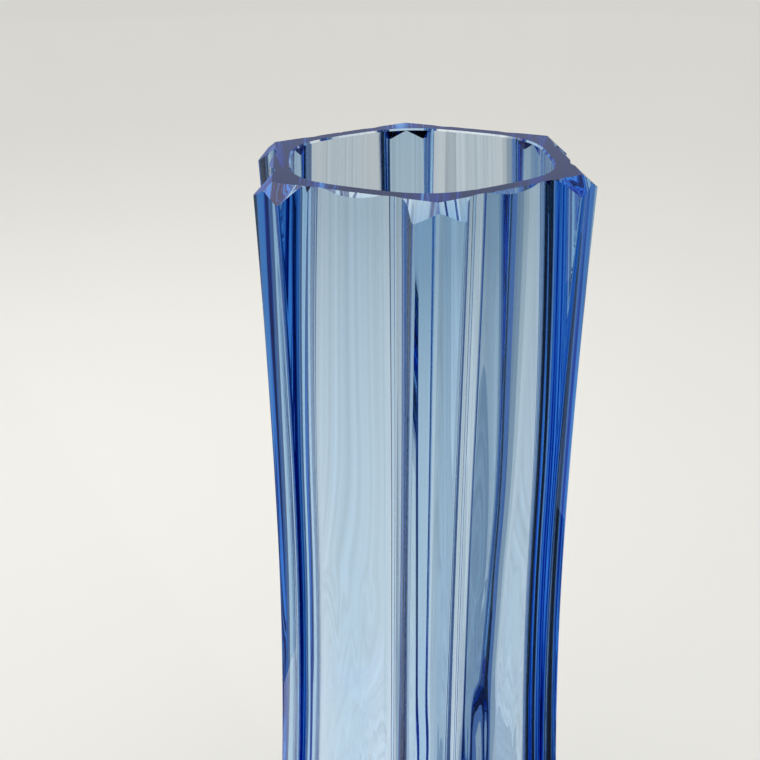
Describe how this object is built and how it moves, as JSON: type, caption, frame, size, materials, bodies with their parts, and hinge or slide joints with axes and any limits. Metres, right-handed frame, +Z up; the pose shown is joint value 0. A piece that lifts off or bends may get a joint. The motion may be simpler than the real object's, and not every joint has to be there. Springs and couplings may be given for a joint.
{
  "type": "cut glass vase",
  "caption": "Tall ribbed vase of solid blue glass with a waisted body, flared foot, faceted rim and deep round cavity for stems and water.",
  "frame": {"origin": "centre of the standing face under the foot", "axes": "+Z up along the vase's axis, towards the mouth; -Y out through the middle of one rib at the rim"},
  "size_m": [0.1098, 0.116, 0.3],
  "materials": {
    "blue_glass": "polished, clear, blue throughout"
  },
  "bodies": {
    "root": {"vase_body": "blue_glass"}
  },
  "joints": []
}
